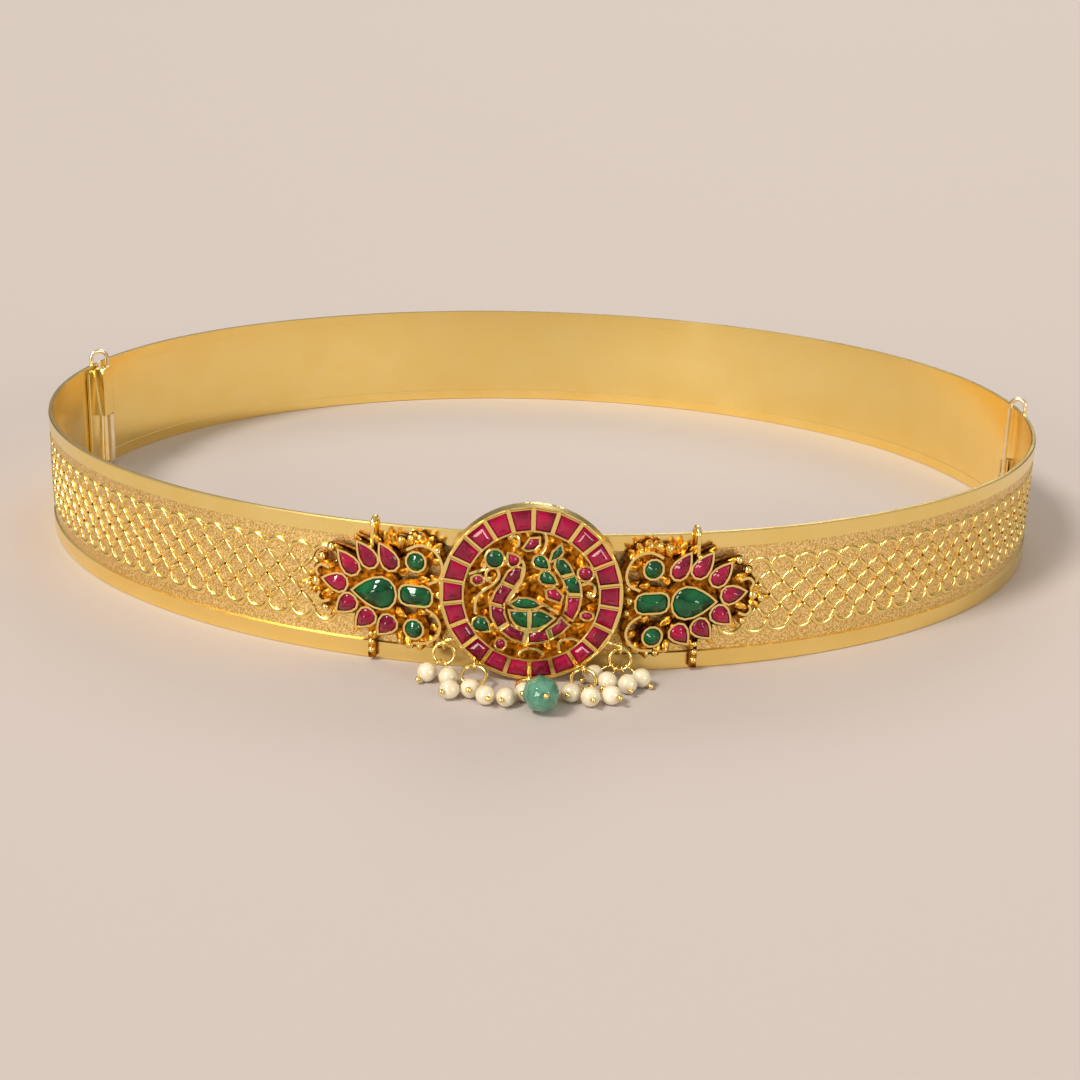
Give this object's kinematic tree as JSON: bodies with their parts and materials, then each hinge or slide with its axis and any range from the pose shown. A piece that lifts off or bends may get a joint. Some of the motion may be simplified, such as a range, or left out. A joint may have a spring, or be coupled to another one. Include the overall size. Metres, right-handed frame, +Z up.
{
  "type": "waist belt",
  "caption": "Rigid oval gilt waist belt in two hairpinned sections, with a peacock disc, two stone-set flower motifs, a raised trellis and pearl drops.",
  "frame": {"origin": "on the surface that the belt stands on, under the middle of the whole box, drops and hairpins included", "axes": "+Z up, -Y towards the front with the disc, +X towards the clasp side, the wearer's left"},
  "size_m": [0.2714, 0.2794, 0.0394],
  "materials": {
    "gold": "polished",
    "matt_gold": "satin",
    "ruby": "polished",
    "emerald": "polished",
    "pearl": "satin",
    "melon_glass": "satin"
  },
  "bodies": {
    "front": {"front_band": "gold", "disc_frame": "gold", "left_motif_frame": "gold", "right_motif_frame": "gold", "jump_ring_1": "gold", "jump_ring_2": "gold", "jump_ring_3": "gold", "jump_ring_4": "gold", "jump_ring_5": "gold", "head_pins_1": "gold", "head_pins_2": "gold", "head_pins_3": "gold", "head_pins_4": "gold", "head_pins_5": "gold", "left_panel": "matt_gold", "right_panel": "matt_gold", "ring_rubies": "ruby", "peacock_rubies": "ruby", "left_petal_rubies": "ruby", "right_petal_rubies": "ruby", "peacock_emeralds": "emerald", "left_pear_emerald": "emerald", "left_bar_emerald": "emerald", "left_upper_emerald": "emerald", "left_lower_emerald": "emerald", "right_pear_emerald": "emerald", "right_bar_emerald": "emerald", "right_upper_emerald": "emerald", "right_lower_emerald": "emerald", "pearl_1": "pearl", "pearl_2": "pearl", "pearl_3": "pearl", "pearl_4": "pearl", "pearl_5": "pearl", "pearl_6": "pearl", "pearl_7": "pearl", "pearl_8": "pearl", "pearl_9": "pearl", "pearl_10": "pearl", "pearl_11": "pearl", "pearl_12": "pearl", "pearl_13": "pearl", "pearl_14": "pearl", "pearl_15": "pearl", "melon_bead": "melon_glass"},
    "back": {"back_band": "gold"},
    "left_pin": {"left_hairpin": "gold"},
    "right_pin": {"right_hairpin": "gold"}
  },
  "joints": [
    {"name": "back_swing", "type": "hinge", "parent": "front", "child": "back", "pos_m": [-0.13022, 0.03909, 0.0157], "axis": [0, 0, 1], "range_deg": [0, 75]},
    {"name": "left_pin_lift", "type": "slide", "parent": "front", "child": "left_pin", "axis": [0, 0, 1], "range_m": [0, 0.03]},
    {"name": "right_pin_lift", "type": "slide", "parent": "front", "child": "right_pin", "axis": [0, 0, 1], "range_m": [0, 0.03]}
  ]
}
